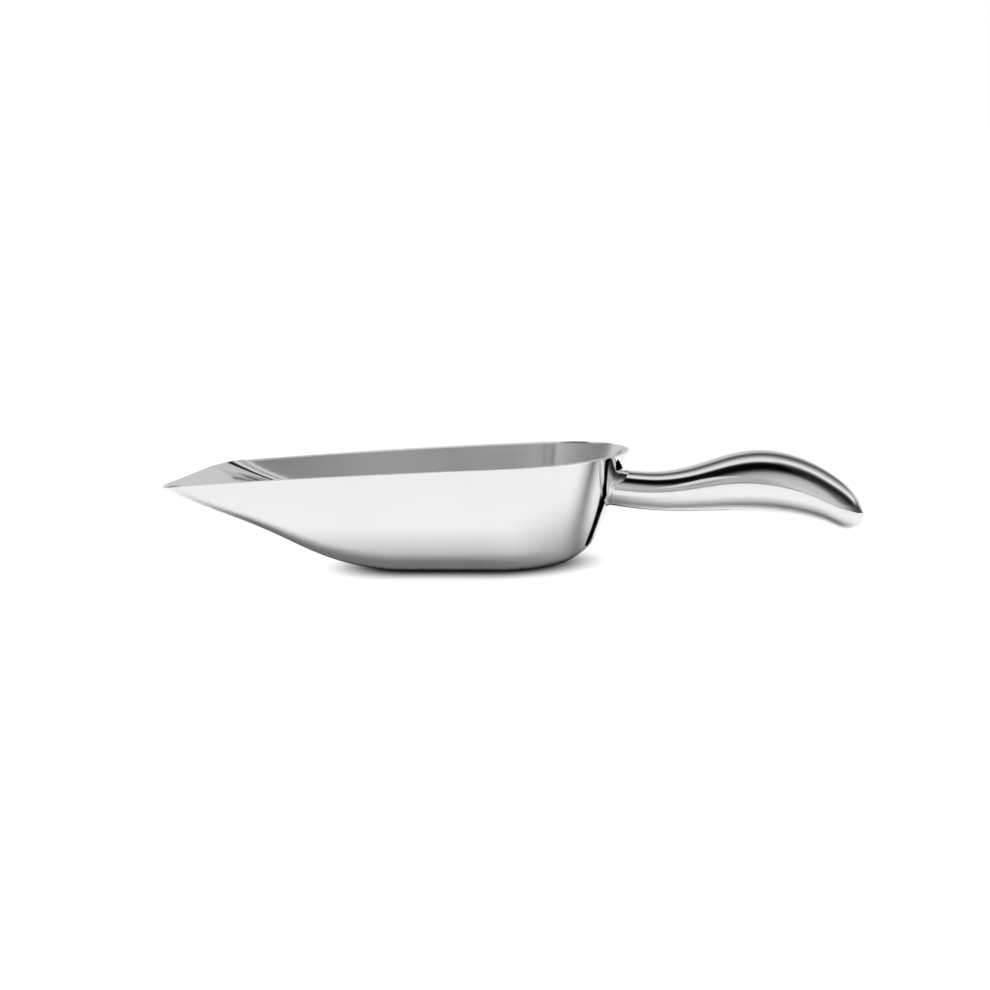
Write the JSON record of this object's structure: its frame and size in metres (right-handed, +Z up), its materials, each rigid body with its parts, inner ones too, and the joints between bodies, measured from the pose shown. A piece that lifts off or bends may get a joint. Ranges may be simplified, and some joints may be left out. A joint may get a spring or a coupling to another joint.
{
  "type": "ice scoop",
  "caption": "Polished steel ice scoop: a pressed pan with a flat base, a ramp up to a straight pouring lip, a round back and a hollow wave-shaped handle.",
  "frame": {"origin": "middle of the pan's flat underside, on the surface the scoop rests on", "axes": "+X along the handle, away from the pouring lip; +Y across the scoop, to the right of a user who holds the handle and faces the lip; +Z up"},
  "size_m": [0.2604, 0.0804, 0.0403],
  "materials": {
    "pan_steel": "mirror-polished stainless steel sheet",
    "handle_steel": "mirror-polished stainless steel sheet",
    "weld_steel": "stainless weld, ground flush and polished",
    "plug_steel": "plain turned stainless steel, out of sight"
  },
  "bodies": {
    "root": {"scoop_pan": "pan_steel", "handle_shell_left": "handle_steel", "handle_shell_right": "handle_steel", "seam_weld": "weld_steel", "root_weld": "weld_steel", "handle_root_plug": "plug_steel"}
  },
  "joints": []
}
